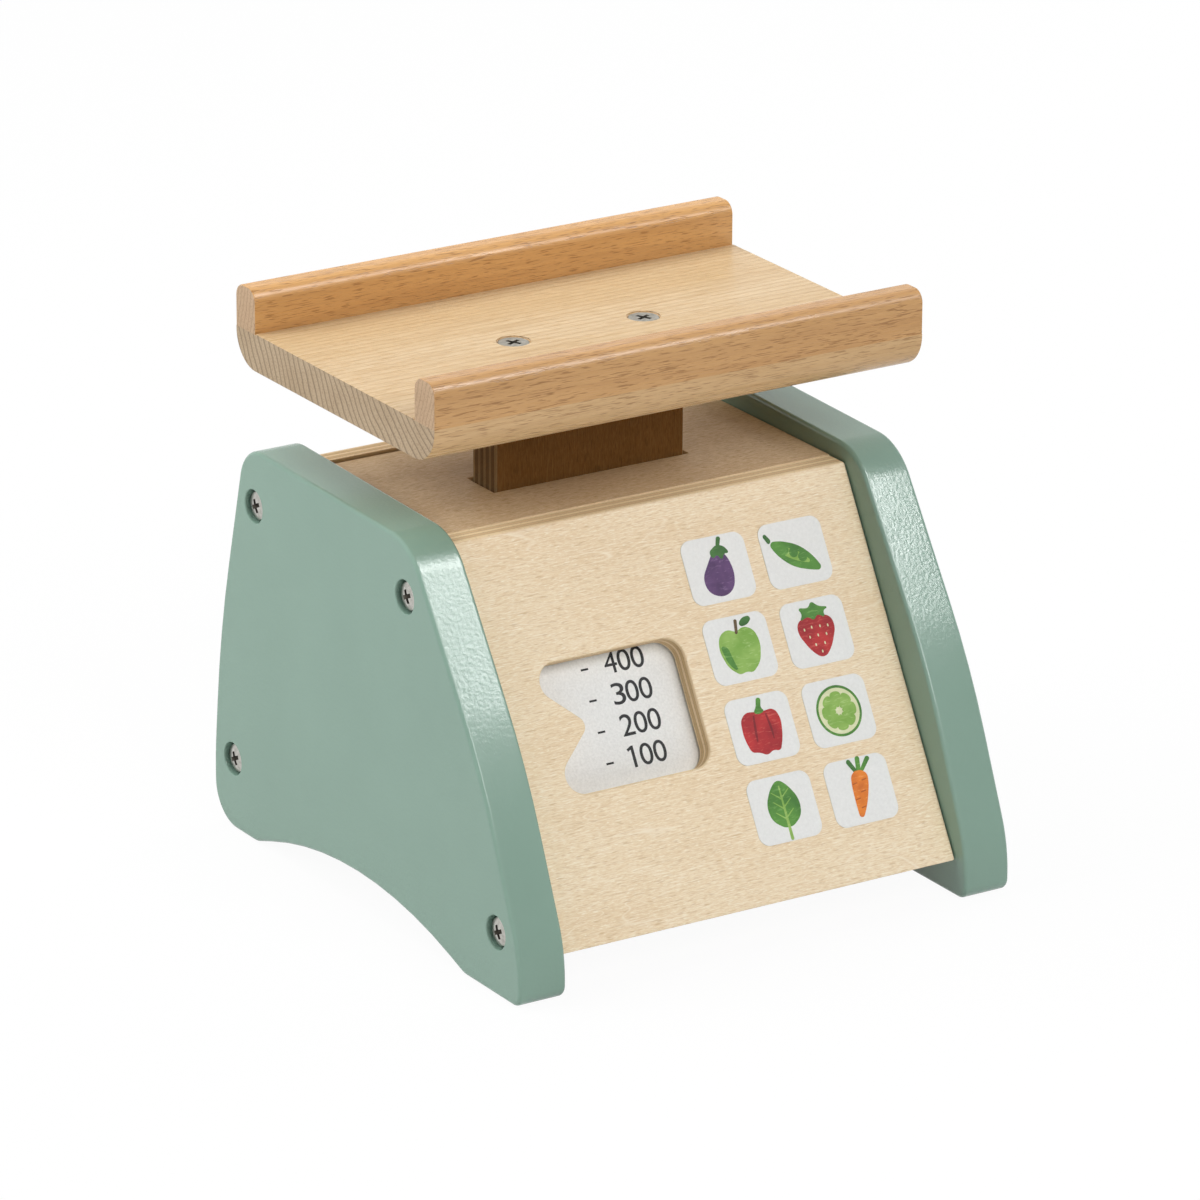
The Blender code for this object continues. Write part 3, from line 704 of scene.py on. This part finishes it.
bm = acrossBoard([(tray["front"], tray["bottom"], tray["lowerRadius"]),
                  (tray["back"], tray["bottom"], tray["lowerRadius"]),
                  (tray["back"], seat, 0), (backSeat, seat, 0), (backSeat, tray["floor"], 0),
                  (frontSeat, tray["floor"], 0), (frontSeat, seat, 0), (tray["front"], seat, 0)],
                 tray["halfLength"])
bore = trayScrew["shankRadius"] + housing["gap"]
sink = trayScrew["headRadius"] + trayScrew["clearance"]
countersink = [(0, -trayScrew["drillDepth"]), (bore, -trayScrew["drillDepth"]),
               (bore, -trayScrew["coneHeight"]), (sink, 0), (sink, trayScrew["drillRise"]),
               (0, trayScrew["drillRise"])]
carve(bm, [turned(countersink, 64, place) for place in screwPlaces])
roundEdges(bm, tray["rounding"], 2, openEnd)
makePiece("trayBase", bm, [makeBeech("beechTop", beechTop), makeBeechEnd("beechBaseEnd", beechEnd),
                           makeBeech("beechBase", beechBase)], "tray", ["tray_base"], baseFaces)

# the rails' grain is shifted along, so that no two boards look alike; their tones differ as painted shade on
# the front rail and painted light on the rear rail
railSkins = {"Front": makeBeech("beechRail", beechRail, 37.0),
             "Rear": makeBeech("beechRear", beechRear, 61.0)}
railEndSkin = makeBeechEnd("beechRailEnd", beechRailEnd)
for name, near in (("Front", tray["front"]), ("Rear", tray["back"] - tray["railWidth"])):
    far = near + tray["railWidth"]
    bm = acrossBoard([(near, seat, 0), (far, seat, 0), (far, tray["railTop"], tray["railRadius"]),
                      (near, tray["railTop"], tray["railRadius"])], tray["halfLength"])
    roundEdges(bm, tray["rounding"], 2, openEnd)
    makePiece("tray" + name + "Rail", bm, [railSkins[name], railEndSkin], "tray",
              ["tray_" + name.lower() + "_rail"], endFaces)

heads = []
for place in screwPlaces:
    bm = turned([(0, 0), (trayScrew["headRadius"] - trayScrew["headEdge"], 0),
                 (trayScrew["headRadius"], -trayScrew["headChamfer"]),
                 (trayScrew["shankRadius"], -trayScrew["coneHeight"]),
                 (trayScrew["shankRadius"], trayScrew["tip"] - trayScrew["length"]),
                 (0, -trayScrew["length"])], 48)
    punchCross(bm, trayScrew)
    bm.transform(place)
    heads.append(bm)
makePiece("trayScrews", joined(heads), [trayScrewSteel, recessShadeSteel], "tray",
          ["tray_screw_left", "tray_screw_right"])
print("tray made")


# return spring: a small circle spun upwards in three stretches

spring = {"low": 17.85, "high": 55.7, "radius": 4.7, "wire": 0.35, "coils": 9, "endPitch": 1.3,
          "stepsACoil": 40}
bm = bmesh.new()
wireStart = Matrix.Translation((spring["radius"], post["y"], spring["low"] + spring["wire"]))
bmesh.ops.create_circle(bm, cap_ends=True, radius=spring["wire"], segments=12,
                        matrix=wireStart @ Matrix.Rotation(math.pi / 2, 4, "X"))
endGeom = bm.faces[:] + bm.edges[:] + bm.verts[:]
pitch = (spring["high"] - spring["low"] - 2 * spring["wire"] - 2 * spring["endPitch"]) / spring["coils"]
for coils, rise in ((1, spring["endPitch"]), (spring["coils"], pitch), (1, spring["endPitch"])):
    steps = coils * spring["stepsACoil"]
    spun = bmesh.ops.spin(bm, geom=endGeom, cent=(0, post["y"], 0), axis=upward, angle=2 * math.pi * coils,
                          dvec=(0, 0, rise * coils / steps), steps=steps)
    endGeom = spun["geom_last"]
bmesh.ops.recalc_face_normals(bm, faces=bm.faces[:])
coil = makePiece("returnSpring", bm, [steel], "housing", ["return_spring"])
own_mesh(coil)
print("spring made")


# numbers and dashes on the card

scaleMarks = {"cardDepth": -7.1, "lift": 0.01, "thickness": 0.03, "first": 48.81, "pitch": 8.98,
              "numbers": ["100", "200", "300", "400", "500", "600"], "dashX": -30.05, "dashHalf": (1.2, 0.3),
              "left": -23.6, "advance": 4.42, "oneAdvance": 3.536, "width": 4.1, "height": 6.15, "drop": 2.6,
              "one": [(1.0, 0, 0), (1.95, 0, 0), (1.95, 6.15, 0), (1.25, 6.15, 0), (-0.2, 5.4, 0),
                      (0.05, 4.65, 0), (1.0, 5.1, 0)]}
inkBlack = makeInk("inkBlack", (0.012, 0.012, 0.013), (0.018, 0.018, 0.019), (0.03, 0.03, 0.031))


def digitShape(digit):
    # a digit as a flat bmesh, its lower left corner at the origin, with its width and height
    curve = bpy.data.curves.new("digit", "FONT")
    curve.body = digit
    curve.offset = 0 if digit == "4" else 0.003  # a four's small opening would close
    holder = bpy.data.objects.new("digit", curve)
    scene.collection.objects.link(holder)
    mesh = bpy.data.meshes.new_from_object(holder.evaluated_get(bpy.context.evaluated_depsgraph_get()))
    bpy.data.objects.remove(holder)
    bm = bmesh.new()
    bm.from_mesh(mesh)
    bmesh.ops.remove_doubles(bm, verts=bm.verts[:], dist=1e-5)
    xs, ys = [vert.co.x for vert in bm.verts], [vert.co.y for vert in bm.verts]
    bm.transform(Matrix.Translation((-min(xs), -min(ys), 0)))
    return bm, max(xs) - min(xs), max(ys) - min(ys)


marks = []
for index, number in enumerate(scaleMarks["numbers"]):
    v = scaleMarks["first"] + index * scaleMarks["pitch"]
    at = scaleMarks["left"]
    for digit in number:
        place = Matrix.Translation((at, v - scaleMarks["drop"], 0))
        if digit == "1":
            marks.append(board(scaleMarks["one"], scaleMarks["thickness"], place))
            at += scaleMarks["oneAdvance"]
            continue
        bm, width, height = digitShape(digit)
        stretch = Matrix.Diagonal((scaleMarks["width"] / width, scaleMarks["height"] / height, 1, 1))
        bm.transform(place @ stretch)
        raiseFaces(bm, (0, 0, scaleMarks["thickness"]))
        marks.append(bm)
        at += scaleMarks["advance"]
    dash = flatRectangle(scaleMarks["dashX"], v, *scaleMarks["dashHalf"])
    marks.append(board(dash, scaleMarks["thickness"]))
bm = joined(marks)
bm.transform(frontFrame @ Matrix.Translation((0, 0, scaleMarks["cardDepth"] + scaleMarks["lift"])))
makePiece("cardNumbers", bm, [inkBlack], "tray")
print("numbers made")


# printed pictures on the stickers, built up from a few soft-cornered shapes each

inks = {"purple": ((0.120, 0.055, 0.165), (0.065, 0.028, 0.095), (0.235, 0.135, 0.300)),
        "green": ((0.100, 0.285, 0.045), (0.050, 0.170, 0.028), (0.200, 0.420, 0.105)),
        "leaf": ((0.050, 0.165, 0.035), (0.028, 0.100, 0.022), (0.110, 0.260, 0.075)),
        "lime": ((0.290, 0.480, 0.110), (0.190, 0.370, 0.060), (0.420, 0.600, 0.220)),
        "red": ((0.480, 0.028, 0.030), (0.300, 0.014, 0.020), (0.640, 0.115, 0.090)),
        "wine": ((0.230, 0.012, 0.018), (0.170, 0.010, 0.015), (0.320, 0.040, 0.040)),
        "orange": ((0.780, 0.225, 0.025), (0.600, 0.140, 0.018), (0.880, 0.390, 0.110)),
        "rust": ((0.480, 0.105, 0.016), (0.400, 0.080, 0.012), (0.600, 0.180, 0.040)),
        "stalk": ((0.110, 0.070, 0.032), (0.070, 0.042, 0.020), (0.190, 0.130, 0.060)),
        "cream": ((0.720, 0.740, 0.480), (0.640, 0.670, 0.400), (0.800, 0.810, 0.610))}
inkSkins = {name: makeInk("ink" + name.capitalize(), *tones) for name, tones in inks.items()}
softness = 0.49  # a corner's rounding as a share of its shorter edge


def softCorners(points):
    corners = []
    for index, point in enumerate(points):
        corner = Vector(point)
        toLast = Vector(points[index - 1]) - corner
        toNext = Vector(points[(index + 1) % len(points)]) - corner
        reach = softness * min(toLast.length, toNext.length)
        corners.append((*point, reach * math.tan(toLast.angle(toNext) / 2)))
    return corners


def roundDot(x, y, across, high):
    # an oval as eight soft corners
    return [(x + across * math.cos(k * math.pi / 4), y + high * math.sin(k * math.pi / 4)) for k in range(8)]


def swung(points, degrees, centre=(0, 0)):
    turn = Matrix.Rotation(math.radians(degrees), 2)
    return [tuple(Vector(centre) + turn @ (Vector(point) - Vector(centre))) for point in points]


aubergine = [("purple", [(1.6, 4.6), (3.4, 2.4), (4.2, -1.6), (3.0, -5.6), (-0.6, -7.2), (-4.4, -5.4),
                         (-5.0, -1.6), (-2.6, 1.6), (-0.6, 4.2)]),
             ("leaf", [(-1.6, 4.3), (-0.6, 2.4), (0.6, 3.7), (1.7, 1.6), (2.6, 3.5), (4.3, 3.2), (3.1, 5.3),
                       (1.0, 5.9)]),
             ("leaf", [(0.8, 5.3), (1.9, 5.3), (2.9, 7.6), (1.7, 7.9)])]
peaPod = [("green", [(-7.0, 3.7), (-3.6, 3.6), (1.4, 1.8), (4.8, -1.6), (6.8, -5.6), (3.2, -5.0),
                     (-1.6, -3.4), (-5.2, 0.0)]),
          ("lime", [(-5.0, 2.4), (0.3, 0.9), (4.6, -3.4), (1.0, -2.6), (-3.0, -0.5)]),
          ("leaf", [(-6.8, 3.0), (-5.8, 4.0), (-7.2, 6.0), (-8.0, 5.4)])]
peaPod += [("green", roundDot(x, y, 1.35, 1.35)) for x, y in ((-2.9, 1.15), (-0.5, 0.1), (1.7, -1.35))]
greenApple = [("lime", [(0, 4.0), (2.2, 5.2), (5.0, 4.0), (6.0, 0.4), (4.6, -4.2), (1.8, -6.4), (0, -5.8),
                        (-1.8, -6.4), (-4.6, -4.2), (-6.0, 0.4), (-5.0, 4.0), (-2.2, 5.2)]),
              ("green", [(-5.4, 1.6), (-4.4, -3.4), (-1.8, -5.8), (-2.6, -3.0), (-3.4, 1.0)]),
              ("stalk", [(-0.4, 3.6), (0.4, 3.6), (1.1, 7.1), (0.2, 7.3)]),
              ("leaf", [(0.8, 5.2), (2.4, 7.4), (5.6, 7.4), (3.8, 5.2)])]
strawberry = [("red", [(0, -7.0), (-3.0, -4.4), (-5.4, 0.2), (-5.0, 3.0), (-2.0, 4.2), (2.0, 4.2), (5.0, 3.0),
                       (5.4, 0.2), (3.0, -4.4)]),
              ("green", [(0, 2.6), (1.2, 4.3), (3.6, 2.8), (3.0, 4.8), (5.4, 5.4), (2.2, 6.0), (0.4, 7.8),
                         (-0.6, 6.0), (-4.0, 6.6), (-2.7, 4.8), (-4.4, 3.0), (-1.4, 4.1)])]
strawberry += [("cream", roundDot(x, y, 0.22, 0.4)) for x, y in (
    (-3.4, 1.0), (-1.2, 1.3), (1.2, 1.2), (3.4, 1.0), (-2.4, -1.0), (0, -0.9), (2.4, -1.0), (-1.3, -3.1),
    (1.3, -3.1), (0, -5.0))]
pepper = [("red", [(-1.0, 4.2), (1.4, 4.0), (4.6, 4.4), (5.8, 1.4), (5.0, -3.0), (3.4, -6.4), (1.4, -5.6),
                   (-0.4, -6.8), (-2.6, -5.6), (-4.6, -5.4), (-5.8, -1.4), (-5.4, 3.0), (-3.4, 4.6)]),
          ("wine", [(-1.8, 3.4), (-1.3, 3.4), (-1.7, -0.8), (-2.4, -4.8), (-2.5, -0.8)]),
          ("wine", [(1.7, 3.4), (2.2, 3.4), (2.9, -0.8), (2.4, -5.0), (2.2, -0.8)]),
          ("green", [(-1.5, 4.0), (0.1, 3.4), (1.9, 4.0), (1.0, 5.0), (1.7, 7.3), (0.4, 7.6), (-0.3, 5.2)])]
limeSlice = [("green", roundDot(0, 0, 6.9, 6.9)), ("cream", roundDot(0, 0, 6.2, 6.2))]
limeSlice += [("lime", swung([(0.35, 0.9), (1.9, 4.3), (0, 5.1), (-1.9, 4.3), (-0.35, 0.9)], k * 45))
              for k in range(8)]
spinach = [("green", [(0, 7.4), (2.6, 5.2), (4.8, 1.4), (4.2, -2.6), (1.4, -4.6), (0, -4.8), (-1.4, -4.6),
                      (-4.2, -2.6), (-4.8, 1.4), (-2.6, 5.2)]),
           ("lime", [(-0.45, -8.0), (0.45, -8.0), (0.2, 5.6), (-0.2, 5.6)])]
for rise in (-2.6, 0.0, 2.4):
    vein = [(0, rise), (0, rise + 0.36), (3.3, rise + 0.24), (3.3, rise + 0.04)]
    spinach += [("lime", swung(vein, tilt, (0, rise))) for tilt in (38, 142)]
carrot = [("green", [(0.4, 4.0), (1.6, 4.0), (5.0, 7.4), (3.9, 8.1)]),
          ("green", [(0.0, 4.0), (1.3, 4.0), (2.0, 8.3), (0.7, 8.4)]),
          ("leaf", [(-0.3, 4.0), (0.9, 4.0), (-1.2, 8.2), (-2.3, 7.5)]),
          ("orange", [(-0.6, 4.9), (1.6, 4.9), (3.0, 3.6), (2.6, 1.0), (0.6, -4.0), (-2.2, -8.0),
                      (-2.4, -3.4), (-2.2, 1.6), (-1.8, 3.8)])]
carrot += [("rust", [(x, y), (x + 1.5, y + 0.25), (x + 1.5, y + 0.5), (x, y + 0.32)]) for x, y in
           ((-2.0, 1.6), (0.9, 2.2), (-0.2, -0.6), (-2.2, -2.2), (-1.2, -4.4))]

stickers = {"columns": (15.9, 41.6), "rows": (94.6, 71.5, 48.4, 25.3), "face": 0.25, "layer": 0.01,
            "ink": 0.02, "grow": 1.15,
            "pictures": [[aubergine, peaPod], [greenApple, strawberry],
                         [pepper, limeSlice], [spinach, carrot]]}
for row, v in enumerate(stickers["rows"]):
    for column, u in enumerate(stickers["columns"]):
        picture = stickers["pictures"][row][column]
        used = sorted(set(ink for ink, points in picture))
        shapes = []
        for layer, (ink, points) in enumerate(picture, 1):
            bm = board(softCorners(points), stickers["ink"])
            bm.transform(Matrix.Diagonal((stickers["grow"], stickers["grow"], 1, 1)))
            bm.transform(Matrix.Translation((u, v, stickers["face"] + layer * stickers["layer"])))
            for face in bm.faces:
                face.material_index = used.index(ink)
            shapes.append(bm)
        bm = joined(shapes)
        bm.transform(frontFrame)
        makePiece("picture_%d_%d" % (row + 1, column + 1), bm, [inkSkins[ink] for ink in used],
                  "housing")
print("sticker pictures made")


# finishes for the CAD pieces that stay

def repaint(finish, *names):
    for name in names:
        nodes[name].data.materials.clear()
        nodes[name].data.materials.append(finish)


dowelTones = {"pale": (0.70, 0.52, 0.31), "warm": (0.58, 0.40, 0.21), "line": (0.76, 0.60, 0.40),
              "fleck": (0.40, 0.25, 0.12), "roughness": (0.5, 0.65), "gloss": 0.2}
repaint(makePaper("cardPaper", (0.86, 0.865, 0.85), (0.72, 0.725, 0.71), 1500), "number_card")
repaint(makePaper("stickerPaper", (0.80, 0.805, 0.79), (0.735, 0.74, 0.725), 1100),
        *[name for name in nodes if name.startswith("sticker_")])
repaint(makeBirch("birchFloor", placing((0, 0, housing["floorTop"]), alongX, upward)), "floor_panel")
repaint(makeBirch("birchBoard", frontFrame), "number_board")
repaint(makeBirch("birchArms", placing((0, 0, 0), alongY, alongX)), "board_arm_left", "board_arm_right")
repaint(makeBirch("dowelUpright", placing((0, 0, 0), upward, (0, -1, 0)), dowelTones), "guide_dowel")
repaint(makeBirch("dowelAcross", placing((0, 0, 0), alongY, upward), dowelTones),
        "stop_dowel_left", "stop_dowel_right")
print("CAD pieces repainted")


# floor, light and camera

def seenDirectly(tree):
    # 1 for what the camera, mirrors and clear things see, 0 for light that falls on the object
    path = addNode(tree, "ShaderNodeLightPath")
    seen = math2(tree, "MAXIMUM", path.outputs["Is Camera Ray"], path.outputs["Is Glossy Ray"])
    return math2(tree, "MAXIMUM", seen, path.outputs["Is Transmission Ray"])


floor = {"size": 6000.0, "level": -0.2, "colour": (0.80, 0.80, 0.80), "roughness": 0.9, "whiteShare": 0.95}
bm = bmesh.new()
bmesh.ops.create_grid(bm, x_segments=1, y_segments=1, size=floor["size"] / 2 * mm,
                      matrix=Matrix.Translation((0, 0, floor["level"] * mm)))
floorMesh = meshOf(bm, "floor")
bm.free()
floorObject = bpy.data.objects.new("floor", floorMesh)
scene.collection.objects.link(floorObject)
white, tree, shader = newFinish("floorWhite")
shader.inputs["Base Color"].default_value = (*floor["colour"], 1)
shader.inputs["Roughness"].default_value = floor["roughness"]
floorMesh.materials.append(white)

# the floor is seen as plain white, with a little of its shadow kept
glow = addNode(tree, "ShaderNodeEmission", {"Color": (1, 1, 1, 1), "Strength": 1.0})
shaded = shader.outputs[0]
share = addNode(tree, "ShaderNodeMixShader", {0: floor["whiteShare"], 1: shaded, 2: glow.outputs[0]})
shown = addNode(tree, "ShaderNodeMixShader", {0: seenDirectly(tree), 1: shaded, 2: share.outputs[0]})
tree.links.new(shown.outputs[0], tree.nodes["Material Output"].inputs["Surface"])

light = {"ambient": 0.10, "distance": 1.6, "aim": (0, 0, 0.08)}
world = bpy.data.worlds.new("studio")
scene.world = world
world.use_nodes = True
tree = world.node_tree
strength = remap(tree, seenDirectly(tree), 0.0, 1.0, (light["ambient"], 1.0))
tree.links.new(strength, tree.nodes["Background"].inputs["Strength"])
tree.nodes["Background"].inputs["Color"].default_value = (1, 1, 1, 1)

softboxes = {"strip": {"azimuth": 39, "elevation": 48.5, "size": (0.22, 0.80), "power": 14.0, "shines": True},
             "key": {"azimuth": 4, "elevation": 39, "size": (0.9, 0.8), "power": 15.0},
             "topLeft": {"azimuth": -130, "elevation": 55, "size": (2.0, 1.4), "power": 12.0, "dull": True},
             "topBack": {"azimuth": 180, "elevation": 62, "size": (2.0, 1.0), "power": 8.5, "dull": True},
             "left": {"azimuth": -114, "elevation": 33, "size": (1.0, 0.6), "power": 11.0, "dull": True},
             "right": {"azimuth": 105, "elevation": 20, "size": (0.8, 0.8), "power": 11.0, "dull": True}}


def fromSide(azimuth, elevation):
    # direction towards a place round the object, azimuth 0 in front and growing to the right
    a, e = math.radians(azimuth), math.radians(elevation)
    return Vector((math.sin(a) * math.cos(e), -math.cos(a) * math.cos(e), math.sin(e)))


for name, box in softboxes.items():
    data = bpy.data.lights.new(name, "AREA")
    data.shape = "RECTANGLE"
    data.size, data.size_y = box["size"]
    data.energy = box["power"]
    lamp = bpy.data.objects.new(name, data)
    lamp.visible_diffuse = not box.get("shines")  # the strip only glints on lacquer and metal
    lamp.visible_glossy = not box.get("dull")  # and these only light
    direction = fromSide(box["azimuth"], box["elevation"])
    turn = direction.to_track_quat("Z", "Y").to_matrix().to_4x4()
    lamp.matrix_world = Matrix.Translation(Vector(light["aim"]) + direction * light["distance"]) @ turn
    scene.collection.objects.link(lamp)

camera = {"place": (-1098.53, -1728.5, 830.47), "azimuth": -32.370, "elevation": 20.202, "roll": 0.267,
          "lens": 232.42, "sensor": 36.0}
back = fromSide(camera["azimuth"], camera["elevation"])
right = Vector(upward).cross(back).normalized()
level = Matrix((right, back.cross(right), back)).transposed()
turn = level @ Matrix.Rotation(math.radians(camera["roll"]), 3, "Z")
data = bpy.data.cameras.new("camera")
data.lens = camera["lens"]
data.sensor_width = camera["sensor"]
cameraObject = bpy.data.objects.new("camera", data)
cameraObject.matrix_world = Matrix.Translation(Vector(camera["place"]) * mm) @ turn.to_4x4()
scene.collection.objects.link(cameraObject)
scene.camera = cameraObject
print("light and camera set")
